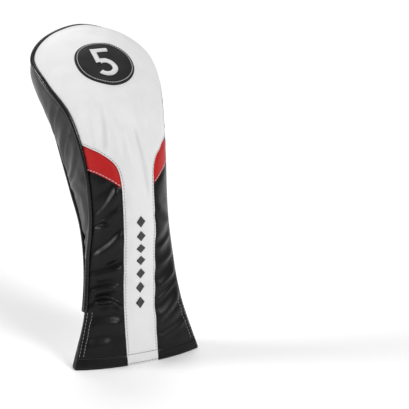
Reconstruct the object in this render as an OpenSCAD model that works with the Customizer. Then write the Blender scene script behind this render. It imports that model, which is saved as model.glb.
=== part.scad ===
// Padded headcover for a fairway wood: a sewn sleeve with its mouth on the z = 0 plane.
// The front faces -Y. The head leans back over +Y, the way a club head sits on its shaft.
// Every layer follows one shell: a front, a back and a gusset between them, each a smooth
// surface over two seams. A place on the shell is given by a level, from 0 at the mouth to
// LAST at the toe, and a share of the way across.

/* [Sleeve] */
// Height of the toe seam above the mouth
sleeve_h = 296; // [280:2:312]
// Nominal width across the head; the seams bulge 3.5 % past it there and 16 % at the mouth
head_w = 112; // [108:1:118]
// How far the front toe seam reaches behind the middle of the mouth
toe_reach = 109; // [104:1:114]

/* [Layers] */
// Thickness of the outer leather
skin_t = 1; // [0.8:0.1:1.2]
// Thickness of the foam padding
padding_t = 3; // [2:0.5:3.5]
// Thickness of the fleece lining
lining_t = 2.5; // [1.5:0.5:3]
// Thickness of the elastic across the back of the neck
elastic_t = 1.2; // [0.8:0.1:1.2]
// Thickness of the ribbed gores beside the mouth
gore_t = 1.4; // [1:0.1:1.6]

/* [Front panel] */
// Width of the stripe down the front
stripe_w = 32; // [27:1:35]
// Width of the number patch
patch_w = 56; // [50:1:60]
// Number of diamonds embroidered down the stripe
diamonds = 7; // [5:1:8]

/* [Trim] */
// Diameter of the piping along both seams
piping_d = 4; // [3:0.5:4.5]
// Diameter of the sewing thread
thread_d = 0.7; // [0.5:0.1:0.9]
// Height of the turned hem at the mouth
hem_h = 10; // [8:1:12]
// Height of the woven tape inside the hem
tape_h = 3; // [2:0.5:4]

/* [Hidden] */

// Stations of the two seams on the +X side, from the mouth to the toe, as shares of
// [head_w / 2, toe_reach, sleeve_h]
FRONT_SEAM = [
    [1.16, -0.165, 0], [0.89, -0.09, 0.175], [0.78, -0.03, 0.33], [0.70, -0.01, 0.47],
    [0.73, 0.06, 0.627], [0.845, 0.23, 0.77], [1.025, 0.505, 0.857], [1.035, 0.785, 0.918],
    [0.65, 0.94, 0.972], [0, 1, 1]
];
BACK_SEAM = [
    [1, -0.02, 0], [0.87, -0.045, 0.17], [0.72, 0.08, 0.305], [0.68, 0.20, 0.42],
    [0.72, 0.36, 0.53], [0.755, 0.535, 0.64], [0.75, 0.73, 0.735], [0.63, 0.93, 0.80],
    [0.37, 1.11, 0.84], [0, 1.175, 0.855]
];
// How far each surface swells out from its seams at the same stations
FRONT_SWELL = [12, 13, 19.5, 21, 19.5, 15.5, 13, 13.5, 8.5, 0];
BACK_SWELL = [47, 35, 26, 20, 16.5, 14, 12, 9, 5, 0];
GUSSET_SWELL = [3, 0, 0.5, 2.5, 5, 7.5, 8, 9, 11, 12];
// How far the padded front stands proud of its seams, over a rounded shoulder
FRONT_SHOULDER = [0, 0, 1, 2, 3, 3, 3, 2.5, 1, 0];
LAST = len(FRONT_SEAM) - 1;
SIZE = [head_w / 2, toe_reach, sleeve_h];
// A larger power keeps the middle of a panel flatter
FLATNESS = 2.4;
SHOULDER_FLATNESS = 12;

// Levels of the shell where the pieces of the front meet
TOE_LEVEL = 8.93;
VENT_LEVEL = 1;
ACCENT_TOP = 4.43;
ACCENT_BOTTOM = 3.92;
ACCENT_CORNER = 3.98;
ACCENT_POINT = 3.56;
ACCENT_BOW = 0.01;
PATCH_LEVEL = 6.16;
// The patch is a little taller than it is wide
PATCH_TALL = 1.12;
EMBROIDERY_START = 0.95;
EMBROIDERY_END = 3.05;

// Clearance between a surface and the trim on it, and between one layer and the next
gap = 0.15;
layer_gap = 0.4;
step = 0.01;
skin_in = -skin_t;
padding_out = skin_in - layer_gap;
padding_in = padding_out - padding_t;
elastic_out = padding_in - layer_gap;
elastic_in = elastic_out - elastic_t;
lining_out = elastic_in - layer_gap;
lining_in = lining_out - lining_t;
label_out = lining_in - 0.8;
label_in = label_out - 0.6;
patch_out = 1.2;
stitch_lift = thread_d / 2 + 0.1;
tape_t = 2;
// Two runs of thread hold the hem, as levels of the shell
HEM_RUNS = [1.8, hem_h] / (FRONT_SEAM[1].z * sleeve_h);
// Level at which the padding and lining begin, just above the hem tape
tape_level = (tape_h + 2) / (FRONT_SEAM[1].z * sleeve_h);

// ---- smooth seams -------------------------------------------------------

function unit(v) = v / norm(v);
function mix(a, b, t) = a * (1 - t) + b * t;
function ease(t) = let (c = min(1, max(0, t))) c * c * (3 - 2 * c);
function across(p) = [-p.x, p.y, p.z];
function flip(p, side) = side < 0 ? across(p) : p;
function spread(a, b, n) = [for (i = [0:n]) mix(a, b, i / n)];
// Shares from -1 to 1 that crowd together at both ends, where a panel curves most
function crowded(n) = [for (k = spread(-90, 90, n)) sin(k)];
// The hem is cut level with the floor
function trimmed(p) = [p.x, p.y, max(0, p.z)];

function blend(a, b, c, d, t) =
    0.5 * (2 * b + (c - a) * t + (2 * a - 5 * b + 4 * c - d) * t * t
        + (3 * b - a - 3 * c + d) * t * t * t);

// A station past the toe is the mirror image of the one before it
function station(list, i) =
    i < 0 ? 2 * list[0] - list[1]
    : i <= LAST ? list[i]
    : is_num(list[0]) ? list[2 * LAST - i]
    : across(list[2 * LAST - i]);

function along(list, s) =
    let (i = max(0, min(floor(s), LAST - 1)))
    blend(station(list, i - 1), station(list, i), station(list, i + 1), station(list, i + 2), s - i);

function seam(list, s) = let (p = along(list, s)) [p.x * SIZE.x, p.y * SIZE.y, p.z * SIZE.z];

// ---- the shell's three surfaces -----------------------------------------

// Direction in which a panel swells, level with the floor at the mouth
function swell_dir(list, s) =
    let (level = min(s, 8.8), d = seam(list, level + step) - seam(list, level - step))
    unit([0, -d.z, d.y * min(1, s / 1.5)]);

function bulge(list, power, u, s) = along(list, s) * (1 - pow(abs(u), power));
function panel_pt(list, rise, u, s) =
    let (edge = seam(list, s)) [u * edge.x, edge.y, edge.z] + swell_dir(list, s) * rise;

function front_rise(u, s) =
    bulge(FRONT_SWELL, FLATNESS, u, s) + bulge(FRONT_SHOULDER, SHOULDER_FLATNESS, u, s);
function front_pt(u, s) = panel_pt(FRONT_SEAM, front_rise(u, s), u, s);
function back_pt(u, s) = panel_pt(BACK_SEAM, -bulge(BACK_SWELL, FLATNESS, u, s), u, s);

function gusset_pt(v, s) =
    let (
        front = seam(FRONT_SEAM, s),
        back = seam(BACK_SEAM, s),
        rise = seam(FRONT_SEAM, s + step) + seam(BACK_SEAM, s + step)
            - seam(FRONT_SEAM, s - step) - seam(BACK_SEAM, s - step)
    )
    mix(front, back, v) + unit(cross(back - front, rise)) * along(GUSSET_SWELL, s) * 4 * v * (1 - v);

// Outward directions, square to two short steps over the surface
function front_normal(u, s) =
    let (
        over = front_pt(u + step, s) - front_pt(u - step, s),
        up = front_pt(u, s + step) - front_pt(u, s - step)
    )
    unit(cross(over, up));
function back_normal(u, s) =
    let (
        over = back_pt(u + step, s) - back_pt(u - step, s),
        up = back_pt(u, s + step) - back_pt(u, s - step)
    )
    unit(cross(up, over));
function gusset_normal(v, s) =
    let (
        over = gusset_pt(v + step, s) - gusset_pt(v - step, s),
        up = gusset_pt(v, s + step) - gusset_pt(v, s - step)
    )
    unit(cross(over, up));

// At a seam both surfaces share one direction, so their layers meet in a mitre
function front_corner(s) = unit(front_normal(1, s) + gusset_normal(0, s));
function back_corner(s) = unit(back_normal(1, s) + gusset_normal(1, s));
function mitred(own, corner, share) =
    let (d = unit(mix(own, corner, ease(share)))) d / max(0.6, d * own);

// Points of each surface, lifted out from it, or sunk into it where lift is negative
function panel_at(point, normal, corner, u, lift) =
    let (out = mitred(normal, corner, (abs(u) - 0.75) * 4))
    trimmed(flip(point + lift * out, sign(u)));
function front_at(u, s, lift) =
    let (a = abs(u)) panel_at(front_pt(a, s), front_normal(a, s), front_corner(s), u, lift);
function back_at(u, s, lift) =
    let (a = abs(u)) panel_at(back_pt(a, s), back_normal(a, s), back_corner(s), u, lift);
function gusset_at(v, s, lift) =
    gusset_pt(v, s) + lift * (
        v < 0.5 ? mitred(gusset_normal(v, s), front_corner(s), 1 - v * 4)
        : mitred(gusset_normal(v, s), back_corner(s), v * 4 - 3));

// A place on the front given by its distance from the middle line
function front_mm(x, s, lift) = front_at(x / seam(FRONT_SEAM, s).x, s, lift);

// ---- solids from grids and paths ----------------------------------------

// A closed sheet between an outer and an inner grid of points, both seen from outside
// with columns running to the right and rows running up
module sheet(outer, inner) {
    rows = len(outer);
    cols = len(outer[0]);
    under = rows * cols;
    function at(i, j) = i * cols + j;
    rim = concat(
        [for (j = [0:cols - 1]) at(0, j)],
        [for (i = [1:rows - 1]) at(i, cols - 1)],
        [for (j = [cols - 2:-1:0]) at(rows - 1, j)],
        [for (i = [rows - 2:-1:1]) at(i, 0)]
    );
    faces = concat(
        [for (i = [0:rows - 2], j = [0:cols - 2]) [at(i, j), at(i + 1, j), at(i + 1, j + 1)]],
        [for (i = [0:rows - 2], j = [0:cols - 2]) [at(i, j), at(i + 1, j + 1), at(i, j + 1)]],
        [for (i = [0:rows - 2], j = [0:cols - 2])
            [under + at(i, j), under + at(i + 1, j + 1), under + at(i + 1, j)]],
        [for (i = [0:rows - 2], j = [0:cols - 2])
            [under + at(i, j), under + at(i, j + 1), under + at(i + 1, j + 1)]],
        [for (k = [0:len(rim) - 1]) let (n = (k + 1) % len(rim)) [rim[k], rim[n], under + rim[n]]],
        [for (k = [0:len(rim) - 1]) let (n = (k + 1) % len(rim)) [rim[k], under + rim[n], under + rim[k]]]
    );
    polyhedron([for (row = concat(outer, inner), p = row) p], faces);
}

// A round bead along a path of points, with each ring carried on from the last without a twist
function turned(side, ahead) = unit(side - (side * ahead) * ahead);

module bead(path, d, sides = 6) {
    n = len(path) - 1;
    ahead = [for (i = [0:n]) unit(path[min(n, i + 1)] - path[max(0, i - 1)])];
    start = abs(ahead[0].z) > 0.9 ? [0, 1, 0] : [0, 0, 1];
    side = [for (i = 0, v = turned(start, ahead[0]); i <= n; i = i + 1, v = turned(v, ahead[min(n, i)])) v];
    walls = [for (i = [0:n - 1], k = [0:sides - 1])
        let (m = (k + 1) % sides)
        [i * sides + k, i * sides + m, (i + 1) * sides + m, (i + 1) * sides + k]];
    polyhedron(
        [for (i = [0:n], k = [0:sides - 1])
            let (a = 360 * k / sides)
            path[i] + d / 2 * (side[i] * cos(a) + cross(side[i], ahead[i]) * sin(a))],
        concat(
            walls,
            [[for (k = [sides - 1:-1:0]) k]],
            [[for (k = [0:sides - 1]) n * sides + k]]
        ),
        convexity = 6
    );
}

// Rows of the front between two curves of [distance from the middle, level]
module front_sheet(lower, upper, rows, lift_out, lift_in) {
    function grid(lift) = [for (t = spread(0, 1, rows))
        [for (j = [0:len(lower) - 1])
            let (p = mix(lower[j], upper[j], t)) front_mm(p.x, p.y, lift)]];
    sheet(grid(lift_out), grid(lift_in));
}

// A full-width layer of the front or of the back
module front_layer(rows, lift_out, lift_in, edge, cols = 10) {
    function grid(lift) = [for (s = rows) [for (k = crowded(cols)) front_at(edge * k, s, lift)]];
    sheet(grid(lift_out), grid(lift_in));
}
module back_layer(rows, lift_out, lift_in, from = -0.995, to = 0.995, cols = 10) {
    function grid(lift) = [for (s = rows)
        [for (k = crowded(cols)) back_at(mix(to, from, (1 + k) / 2), s, lift)]];
    sheet(grid(lift_out), grid(lift_in));
}

// The band over the toe, from a level on one side to the same level on the other
module gusset_layer(start, lift_out, lift_in, inset = 0.02, cols = 6, rows = 56) {
    turn = LAST - start;
    function place(v, t, lift) = t <= turn
        ? gusset_at(v, start + t, lift)
        : across(gusset_at(v, start + 2 * turn - t, lift));
    function grid(lift) = [for (t = spread(0, 2 * turn, rows))
        [for (v = spread(inset, 1 - inset, cols)) place(v, t, lift)]];
    sheet(grid(lift_out), grid(lift_in));
}

// Levels that crowd together towards the toe, where the panels close
function levels(start, n) =
    [for (t = spread(0, 1, n)) mix(start, TOE_LEVEL, 1.25 * t - 0.25 * t * t * t)];

// ---- outlines on the front ----------------------------------------------

// The front's width at a level, from the middle to the seam, less a hair for the seam itself
function half_front(s) = seam(FRONT_SEAM, s).x * 0.995;

// Edge of the stripe from the accent's point up round the corner and out to the seam
function crown_edge(t) =
    let (
        low = [stripe_w / 2, ACCENT_POINT],
        corner = [stripe_w / 2 + 1, ACCENT_CORNER],
        high = [half_front(ACCENT_TOP), ACCENT_TOP]
    )
    low * pow(1 - t, 3) + corner * 3 * t * (1 - t) + high * pow(t, 3);

// Lower edge of the accent, from its point out to the seam
function accent_edge(t) =
    mix([stripe_w / 2, ACCENT_POINT], [half_front(ACCENT_BOTTOM), ACCENT_BOTTOM], t)
        + [0, ACCENT_BOW * sin(180 * t)];

// Room for the stitched seam between two pieces of the front
seam_gap = 0.2;
function out_by(p, d) = [p.x + d, p.y];
function sided(list, side) = side > 0 ? list : [for (i = [len(list) - 1:-1:0]) [-list[i].x, list[i].y]];

// ---- outer leather ------------------------------------------------------

// One T-shaped piece: the whole crown and the stripe down to the mouth
module crown_panel() color("white") {
    edge = concat(
        [for (s = spread(0, ACCENT_POINT, 12)) [stripe_w / 2, s]],
        [for (t = spread(0.1, 1, 8)) crown_edge(t)],
        [for (s = levels(ACCENT_TOP, 17)) if (s > ACCENT_TOP) [half_front(s), s]]
    );
    grid = function (lift) [for (e = edge) [for (k = crowded(10)) front_mm(e.x * k, e.y, lift)]];
    sheet(grid(0), grid(skin_in));
}

module accent_panel(side) color("crimson") {
    lower = [for (t = spread(0.06, 1, 8)) out_by(accent_edge(t), seam_gap)];
    upper = [for (t = spread(0.06, 1, 8)) out_by(crown_edge(t), seam_gap)];
    front_sheet(sided(lower, side), sided(upper, side), 3, 0, skin_in);
}

module front_lower_panel(side) color("dimgray") {
    upper = [for (t = spread(0.02, 1, 7)) accent_edge(t) + [seam_gap, -0.02]];
    // Each column runs down its own share of the width between the stripe and the seam
    place = function (t, h)
        let (
            top = upper[t],
            s = top.y * h,
            share = (top.x - stripe_w / 2) / (half_front(top.y) - stripe_w / 2)
        )
        [mix(stripe_w / 2 + seam_gap, half_front(s), min(1, max(0, share))), s];
    columns = side > 0 ? [for (j = [0:len(upper) - 1]) j] : [for (j = [len(upper) - 1:-1:0]) j];
    grid = function (lift) [for (h = spread(0, 1, 16))
        [for (j = columns) let (p = place(j, h)) front_mm(p.x * side, p.y, lift)]];
    sheet(grid(0), grid(skin_in));
}

module gusset_panel() color("dimgray") gusset_layer(VENT_LEVEL, 0, skin_in);

module back_panel() color("white") back_layer(levels(0, 30), 0, skin_in);

// ---- trim ---------------------------------------------------------------

module piping(list, corner_of) color("black") {
    turn = LAST - VENT_LEVEL;
    lift = piping_d / 2 + gap;
    place = function (t)
        let (s = t <= turn ? VENT_LEVEL + t : VENT_LEVEL + 2 * turn - t)
        flip(seam(list, s) + lift * corner_of(s), t <= turn ? 1 : -1);
    bead([for (t = spread(0, 2 * turn, 72)) place(t)], piping_d, 8);
}

module gore(side) color("dimgray") {
    // The gore is sewn in behind the turned edges of the panels on both sides of it
    lap = 1.8;
    width = function (s) norm(seam(BACK_SEAM, s) - seam(FRONT_SEAM, s));
    place = function (v, s, lift) trimmed(flip(gusset_pt(v, s) + gusset_normal(v, s) * lift, side));
    grid = function (lift) [for (s = spread(0.03, VENT_LEVEL - 0.04, 10))
        [for (v = spread(lap / width(s), 1 - lap / width(s), 4)) place(side > 0 ? v : 1 - v, s, lift)]];
    sheet(grid(-gap), grid(-gap - gore_t));
}

// A place on the front in millimetres from the middle of the patch, x across and y up
patch_stretch = norm(front_pt(0, PATCH_LEVEL + step) - front_pt(0, PATCH_LEVEL - step)) / (2 * step);
function patch_at(x, y, lift) = front_mm(x, PATCH_LEVEL + y * PATCH_TALL / patch_stretch, lift);

module number_patch() color("black") {
    r = patch_w / 2;
    // A square grid drawn out into a disc
    grid = function (lift) [for (b = spread(-1, 1, 14))
        [for (a = spread(-1, 1, 14))
            patch_at(r * a * sqrt(1 - b * b / 2), r * b * sqrt(1 - a * a / 2), lift)]];
    sheet(grid(patch_out), grid(gap));
}

module patch_border_stitch() color("silver") {
    r = patch_w / 2 - 2.5;
    bead([for (a = spread(0, 358, 32)) patch_at(r * cos(a), r * sin(a), patch_out + stitch_lift)], thread_d);
}

// A flat stroke of satin stitch along a path of [x, y] on the patch
module stroke(path, w) {
    n = len(path) - 1;
    side_of = function (i)
        let (d = path[min(n, i + 1)] - path[max(0, i - 1)]) [-d.y, d.x] / norm(d) * w / 2;
    grid = function (lift) [for (k = [-1, 0, 1])
        [for (i = [0:n]) let (p = path[i] + side_of(i) * k) patch_at(p.x, p.y, lift)]];
    sheet(grid(patch_out + 0.9), grid(patch_out + 0.1));
}

// A plain figure 5 in three strokes: flag, stem and bowl
module number_embroidery() color("white") {
    w = 4.4;
    bowl = [-1.9, -7.6];
    bowl_r = 8.3;
    stem_x = -6.9;
    top = 14;
    stroke([for (x = spread(-8.7, 6.7, 4)) [x, top]], w);
    stroke([for (y = spread(top - 2.4, 0, 3)) [stem_x, y]], w);
    stroke([for (a = spread(118, -145, 14)) bowl + bowl_r * [cos(a), sin(a)]], w);
}

module stripe_embroidery() color("black") {
    pitch = (EMBROIDERY_END - EMBROIDERY_START) / diamonds;
    half = [4.5, pitch * 0.36];
    for (i = [0:diamonds - 1]) {
        middle = EMBROIDERY_START + pitch * (i + 0.5);
        grid = function (lift) [for (b = [-1, 0, 1])
            [for (a = [-1, 0, 1])
                front_mm(half.x * (a - b) / 2, middle + half.y * (a + b) / 2, lift)]];
        sheet(grid(0.8), grid(gap));
    }
}

// A run of thread just above the front, through points of [distance from the middle, level]
module front_thread(points, side)
    bead([for (p = points) front_mm(p.x * side, p.y, stitch_lift)], thread_d);

module crown_topstitch(side) color("silver") {
    inset = 1.6;
    front_thread(concat(
        [for (s = spread(HEM_RUNS[1] + 0.04, ACCENT_POINT, 22)) [stripe_w / 2 - inset, s]],
        [for (t = spread(0.1, 0.97, 12)) crown_edge(t) + [-inset * (1 - t), inset * t * 0.02]]
    ), side);
}

module accent_topstitch(side) color("silver")
    front_thread([for (t = spread(0.12, 0.97, 12)) accent_edge(t) + [0, 0.035]], side);

module hem_stitch_front() color("gray")
    for (s = HEM_RUNS) bead([for (u = spread(-0.97, 0.97, 36)) front_at(u, s, stitch_lift)], thread_d);

module hem_stitch_back() color("gray")
    for (s = HEM_RUNS) bead([for (u = spread(0.97, -0.97, 40)) back_at(u, s, stitch_lift)], thread_d);

// The turned edges of the front and the back panel, one on each side of a gore
module vent_stitch(side) color("gray") {
    inset = 0.94;
    runs = spread(HEM_RUNS[1] + 0.06, VENT_LEVEL, 14);
    bead([for (s = runs) front_at(inset * side, s, stitch_lift)], thread_d);
    bead([for (s = runs) back_at(inset * side, s, stitch_lift)], thread_d);
}

// ---- inside -------------------------------------------------------------

module front_padding() color("khaki")
    front_layer(levels(tape_level, 26), padding_out, padding_in, 0.985);
module back_padding() color("khaki")
    back_layer(levels(tape_level, 26), padding_out, padding_in, -0.985, 0.985);
module gusset_padding() color("khaki")
    gusset_layer(2.2, padding_out, padding_in, 0.05, 5, 44);

module neck_elastic() color("ivory")
    back_layer(spread(2.9, 3.5, 4), elastic_out, elastic_in, -0.9, 0.9);

module front_lining() color("gainsboro")
    front_layer(levels(tape_level, 26), lining_out, lining_in, 0.975);
module back_lining() color("gainsboro")
    back_layer(levels(tape_level, 26), lining_out, lining_in, -0.975, 0.975);
module gusset_lining() color("gainsboro")
    gusset_layer(3.2, lining_out, lining_in, 0.08, 4, 40);

// A flat ring round the mouth, which carries the hem and rests on the floor
module hem_tape() color("black") {
    outline = function (lift) concat(
        [for (u = spread(-0.96, 0.96, 20)) let (p = front_at(u, 0, lift)) [p.x, p.y]],
        [for (u = spread(0.96, -0.96, 24)) let (p = back_at(u, 0, lift)) [p.x, p.y]]
    );
    outer = padding_out - 1.4;
    linear_extrude(tape_h) difference() {
        polygon(outline(outer));
        polygon(outline(outer - tape_t));
    }
}

module care_label() color("white")
    back_layer(spread(0.45, 1.1, 3), label_out, label_in, -0.62, -0.2, 3);

crown_panel();
accent_panel(-1);  // accent_panel_left
accent_panel(1);  // accent_panel_right
front_lower_panel(-1);  // front_lower_panel_left
front_lower_panel(1);  // front_lower_panel_right
gusset_panel();
back_panel();
piping(FRONT_SEAM, function (s) front_corner(s));  // front_piping
piping(BACK_SEAM, function (s) back_corner(s));  // back_piping
gore(-1);  // gore_left
gore(1);  // gore_right
number_patch();
patch_border_stitch();
number_embroidery();
stripe_embroidery();
crown_topstitch(-1);  // crown_topstitch_left
crown_topstitch(1);  // crown_topstitch_right
accent_topstitch(-1);  // accent_topstitch_left
accent_topstitch(1);  // accent_topstitch_right
hem_stitch_front();
hem_stitch_back();
vent_stitch(-1);  // vent_stitch_left
vent_stitch(1);  // vent_stitch_right
front_padding();
gusset_padding();
back_padding();
neck_elastic();
front_lining();
gusset_lining();
back_lining();
hem_tape();
care_label();
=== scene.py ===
"""The sewn look of the fairway wood headcover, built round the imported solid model.

Leather, knit, padding and thread all follow one shell, the one that the solid model is
made from: a front, a back and a gusset between two seams. A place on it is a level, from
0 at the mouth to LAST at the toe, and a share of the way across. Lengths are in
millimetres until they reach a mesh.
"""
import math
from collections import namedtuple

import bmesh
import bpy
import numpy as np
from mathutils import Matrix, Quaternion, Vector
from mathutils.kdtree import KDTree


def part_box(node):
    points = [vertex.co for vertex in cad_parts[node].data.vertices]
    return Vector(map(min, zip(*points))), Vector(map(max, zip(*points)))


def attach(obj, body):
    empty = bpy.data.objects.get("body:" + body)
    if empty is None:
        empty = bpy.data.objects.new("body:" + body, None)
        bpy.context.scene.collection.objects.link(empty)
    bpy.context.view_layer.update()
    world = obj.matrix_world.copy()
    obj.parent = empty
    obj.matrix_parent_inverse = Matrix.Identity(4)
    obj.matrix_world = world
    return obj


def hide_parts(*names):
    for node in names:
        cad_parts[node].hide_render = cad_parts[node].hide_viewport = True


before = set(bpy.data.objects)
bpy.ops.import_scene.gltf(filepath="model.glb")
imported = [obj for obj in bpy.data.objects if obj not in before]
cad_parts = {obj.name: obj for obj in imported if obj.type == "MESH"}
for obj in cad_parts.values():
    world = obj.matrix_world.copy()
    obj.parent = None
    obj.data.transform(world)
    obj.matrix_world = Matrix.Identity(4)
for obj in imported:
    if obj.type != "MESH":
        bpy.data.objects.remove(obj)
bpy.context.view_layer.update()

MM = 0.001
STEP = 0.01

# ---- the shell's driving sizes, as in the solid model ----

FRONT_SEAM = [
    [1.16, -0.165, 0], [0.89, -0.09, 0.175], [0.78, -0.03, 0.33], [0.70, -0.01, 0.47],
    [0.73, 0.06, 0.627], [0.845, 0.23, 0.77], [1.025, 0.505, 0.857], [1.035, 0.785, 0.918],
    [0.65, 0.94, 0.972], [0, 1, 1],
]
BACK_SEAM = [
    [1, -0.02, 0], [0.87, -0.045, 0.17], [0.72, 0.08, 0.305], [0.68, 0.20, 0.42],
    [0.72, 0.36, 0.53], [0.755, 0.535, 0.64], [0.75, 0.73, 0.735], [0.63, 0.93, 0.80],
    [0.37, 1.11, 0.84], [0, 1.175, 0.855],
]
FRONT_SWELL = [12, 13, 19.5, 21, 19.5, 15.5, 13, 13.5, 8.5, 0]
BACK_SWELL = [47, 35, 26, 20, 16.5, 14, 12, 9, 5, 0]
GUSSET_SWELL = [3, 0, 0.5, 2.5, 5, 7.5, 8, 9, 11, 12]
# How far the front stands proud of its seams, over a shoulder as round as the padding
FRONT_SHOULDER = [0, 0, 1, 2, 3, 3, 3, 2.5, 1, 0]
SHOULDER_FLATNESS = 12
LAST = len(FRONT_SEAM) - 1
FLATNESS = 2.4
PANEL_EDGE = 0.995
TOE_LEVEL = 8.93
VENT_LEVEL = 1

STRIPE_HALF = 16
ACCENT_TOP = 4.43
ACCENT_BOTTOM = 3.92
ACCENT_CORNER = 3.98
ACCENT_POINT = 3.56
ACCENT_BOW = 0.01
PATCH_LEVEL = 6.16
PATCH_TALL = 1.12
EMBROIDERY_START = 0.95
EMBROIDERY_END = 3.05
DIAMONDS = 7

LEATHER = 0.9
PADDING = (-2.0, -4.6)
ELASTIC = (-4.8, -6.0)
LINING = (-6.4, -8.9)
LABEL = (-9.7, -10.3)
HEM_HEIGHT = 10
HEM_LOWER_RUN = 1.8
HEM_ROLL = 1.25
TAPE_OUT = -2.8
TAPE_WIDTH = 2
TAPE_HEIGHT = 3
CROWN_LIFT = 0.2
PATCH_LIFT = 1.2
PIPING_RADIUS = 2.2
PIPING_LIFT = 0.4
PIPING_PUSH = 2.2
PIPING_SINK = 1.5
THREAD_RADIUS = 0.3
# Nothing of the cover reaches lower than this
FLOOR_GAP = 0.02
# A panel swells out level at the mouth, and square to its seam from this level up
SQUARE_LEVEL = 1.5
# Past this level the seam turns over the toe, and the direction of swelling stays as it is
TURNING_LEVEL = 8.8
# How much of a surface's width, at each seam, turns its layers towards the shared direction
MITRE_SHARE = 0.25


def top_of(node, axis):
    """Highest coordinate of a CAD node along an axis, in millimetres."""
    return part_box(node)[1][axis] / MM


SIZE = np.array([
    top_of("front_lower_panel_right", 0) / (FRONT_SEAM[0][0] * PANEL_EDGE),
    top_of("crown_panel", 1),
    top_of("crown_panel", 2),
])
HEM_RISE = FRONT_SEAM[1][2] * SIZE[2]
HEM_TOP = HEM_HEIGHT / HEM_RISE
TAPE_LEVEL = (TAPE_HEIGHT + 2) / HEM_RISE

# ---- smooth seams ----


def unit(v):
    return v / np.maximum(np.linalg.norm(v, axis=-1, keepdims=True), 1e-9)


def mix(a, b, t):
    return a * (1 - t) + b * t


def ease(t):
    t = np.clip(t, 0, 1)
    return t * t * (3 - 2 * t)


def catmull(a, b, c, d, t):
    return 0.5 * (2 * b + (c - a) * t + (2 * a - 5 * b + 4 * c - d) * t * t
                  + (3 * b - a - 3 * c + d) * t * t * t)


def along(stations, s):
    """Smooth value at level s of a list of stations, which is mirrored past the toe."""
    stations = np.array(stations, float)
    mirror = np.array([-1, 1, 1]) if stations.ndim == 2 else 1
    row = np.concatenate([[2 * stations[0] - stations[1]], stations, [stations[-2] * mirror]])
    i = np.clip(np.floor(s), 0, LAST - 1).astype(int)
    t = (s - i)[..., None] if stations.ndim == 2 else s - i
    return catmull(row[i], row[i + 1], row[i + 2], row[i + 3], t)


def seam(stations, s):
    return along(stations, s) * SIZE


def flipped(points, side):
    """Points with x mirrored wherever side is negative."""
    sign = np.where(side < 0, -1.0, 1.0)
    return np.stack([points[..., 0] * sign, points[..., 1], points[..., 2]], -1)


# ---- the shell's three surfaces ----


def bulge(stations, power, u, s):
    return along(stations, s) * (1 - np.abs(u) ** power)


def panel_place(stations, rise, u, s):
    """A point of the front or the back: share u across, level s, and how far it swells out."""
    edge = seam(stations, s)
    level = np.minimum(s, TURNING_LEVEL)
    climb = seam(stations, level + STEP) - seam(stations, level - STEP)
    lean = np.clip(s / SQUARE_LEVEL, 0, 1)
    out = unit(np.stack([0 * s, -climb[..., 2], climb[..., 1] * lean], -1))
    return np.stack([u * edge[..., 0], edge[..., 1], edge[..., 2]], -1) + out * rise[..., None]


def front_place(u, s):
    u, s = np.broadcast_arrays(np.asarray(u, float), np.asarray(s, float))
    rise = bulge(FRONT_SWELL, FLATNESS, u, s) + bulge(FRONT_SHOULDER, SHOULDER_FLATNESS, u, s)
    return panel_place(FRONT_SEAM, rise, u, s)


def back_place(u, s):
    u, s = np.broadcast_arrays(np.asarray(u, float), np.asarray(s, float))
    return panel_place(BACK_SEAM, -bulge(BACK_SWELL, FLATNESS, u, s), u, s)


def gusset_place(v, w):
    """The band over the toe: share v from front to back, w levels from the toe, left below 0."""
    v, w = np.broadcast_arrays(np.asarray(v, float), np.asarray(w, float))
    s = LAST - np.abs(w)
    start = seam(FRONT_SEAM, s)
    end = seam(BACK_SEAM, s)
    rise = (seam(FRONT_SEAM, s + STEP) + seam(BACK_SEAM, s + STEP)
            - seam(FRONT_SEAM, s - STEP) - seam(BACK_SEAM, s - STEP))
    out = unit(np.cross(end - start, rise))
    swell = along(GUSSET_SWELL, s) * 4 * v * (1 - v)
    return flipped(mix(start, end, v[..., None]) + out * swell[..., None], w)


def normal(place, facing, a, b):
    over = place(a + STEP, b) - place(a - STEP, b)
    up = place(a, b + STEP) - place(a, b - STEP)
    return unit(np.cross(over, up) * facing)


def corner_normal(panel, facing, v, s):
    """The direction that a panel and the gusset share at their seam, on the +X side."""
    return unit(normal(panel, facing, np.ones_like(s), s)
                + normal(gusset_place, -1, np.full_like(s, v), LAST - s))


def front_corner(s):
    return corner_normal(front_place, 1, 0.0, s)


def back_corner(s):
    return corner_normal(back_place, -1, 1.0, s)


def mitred(own, shared, share):
    """Turns a layer's direction towards the shared one at a seam, so that layers meet there."""
    out = unit(mix(own, shared, ease(share)[..., None]))
    return out / np.maximum(0.6, (out * own).sum(-1, keepdims=True))


# ---- folds ----

# A fold runs from start to end, each given as millimetres from the middle line and
# millimetres up from the hem. It bows sideways, and a negative depth makes it a valley.
Fold = namedtuple("Fold", "start end width depth bow", defaults=[0])

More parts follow.
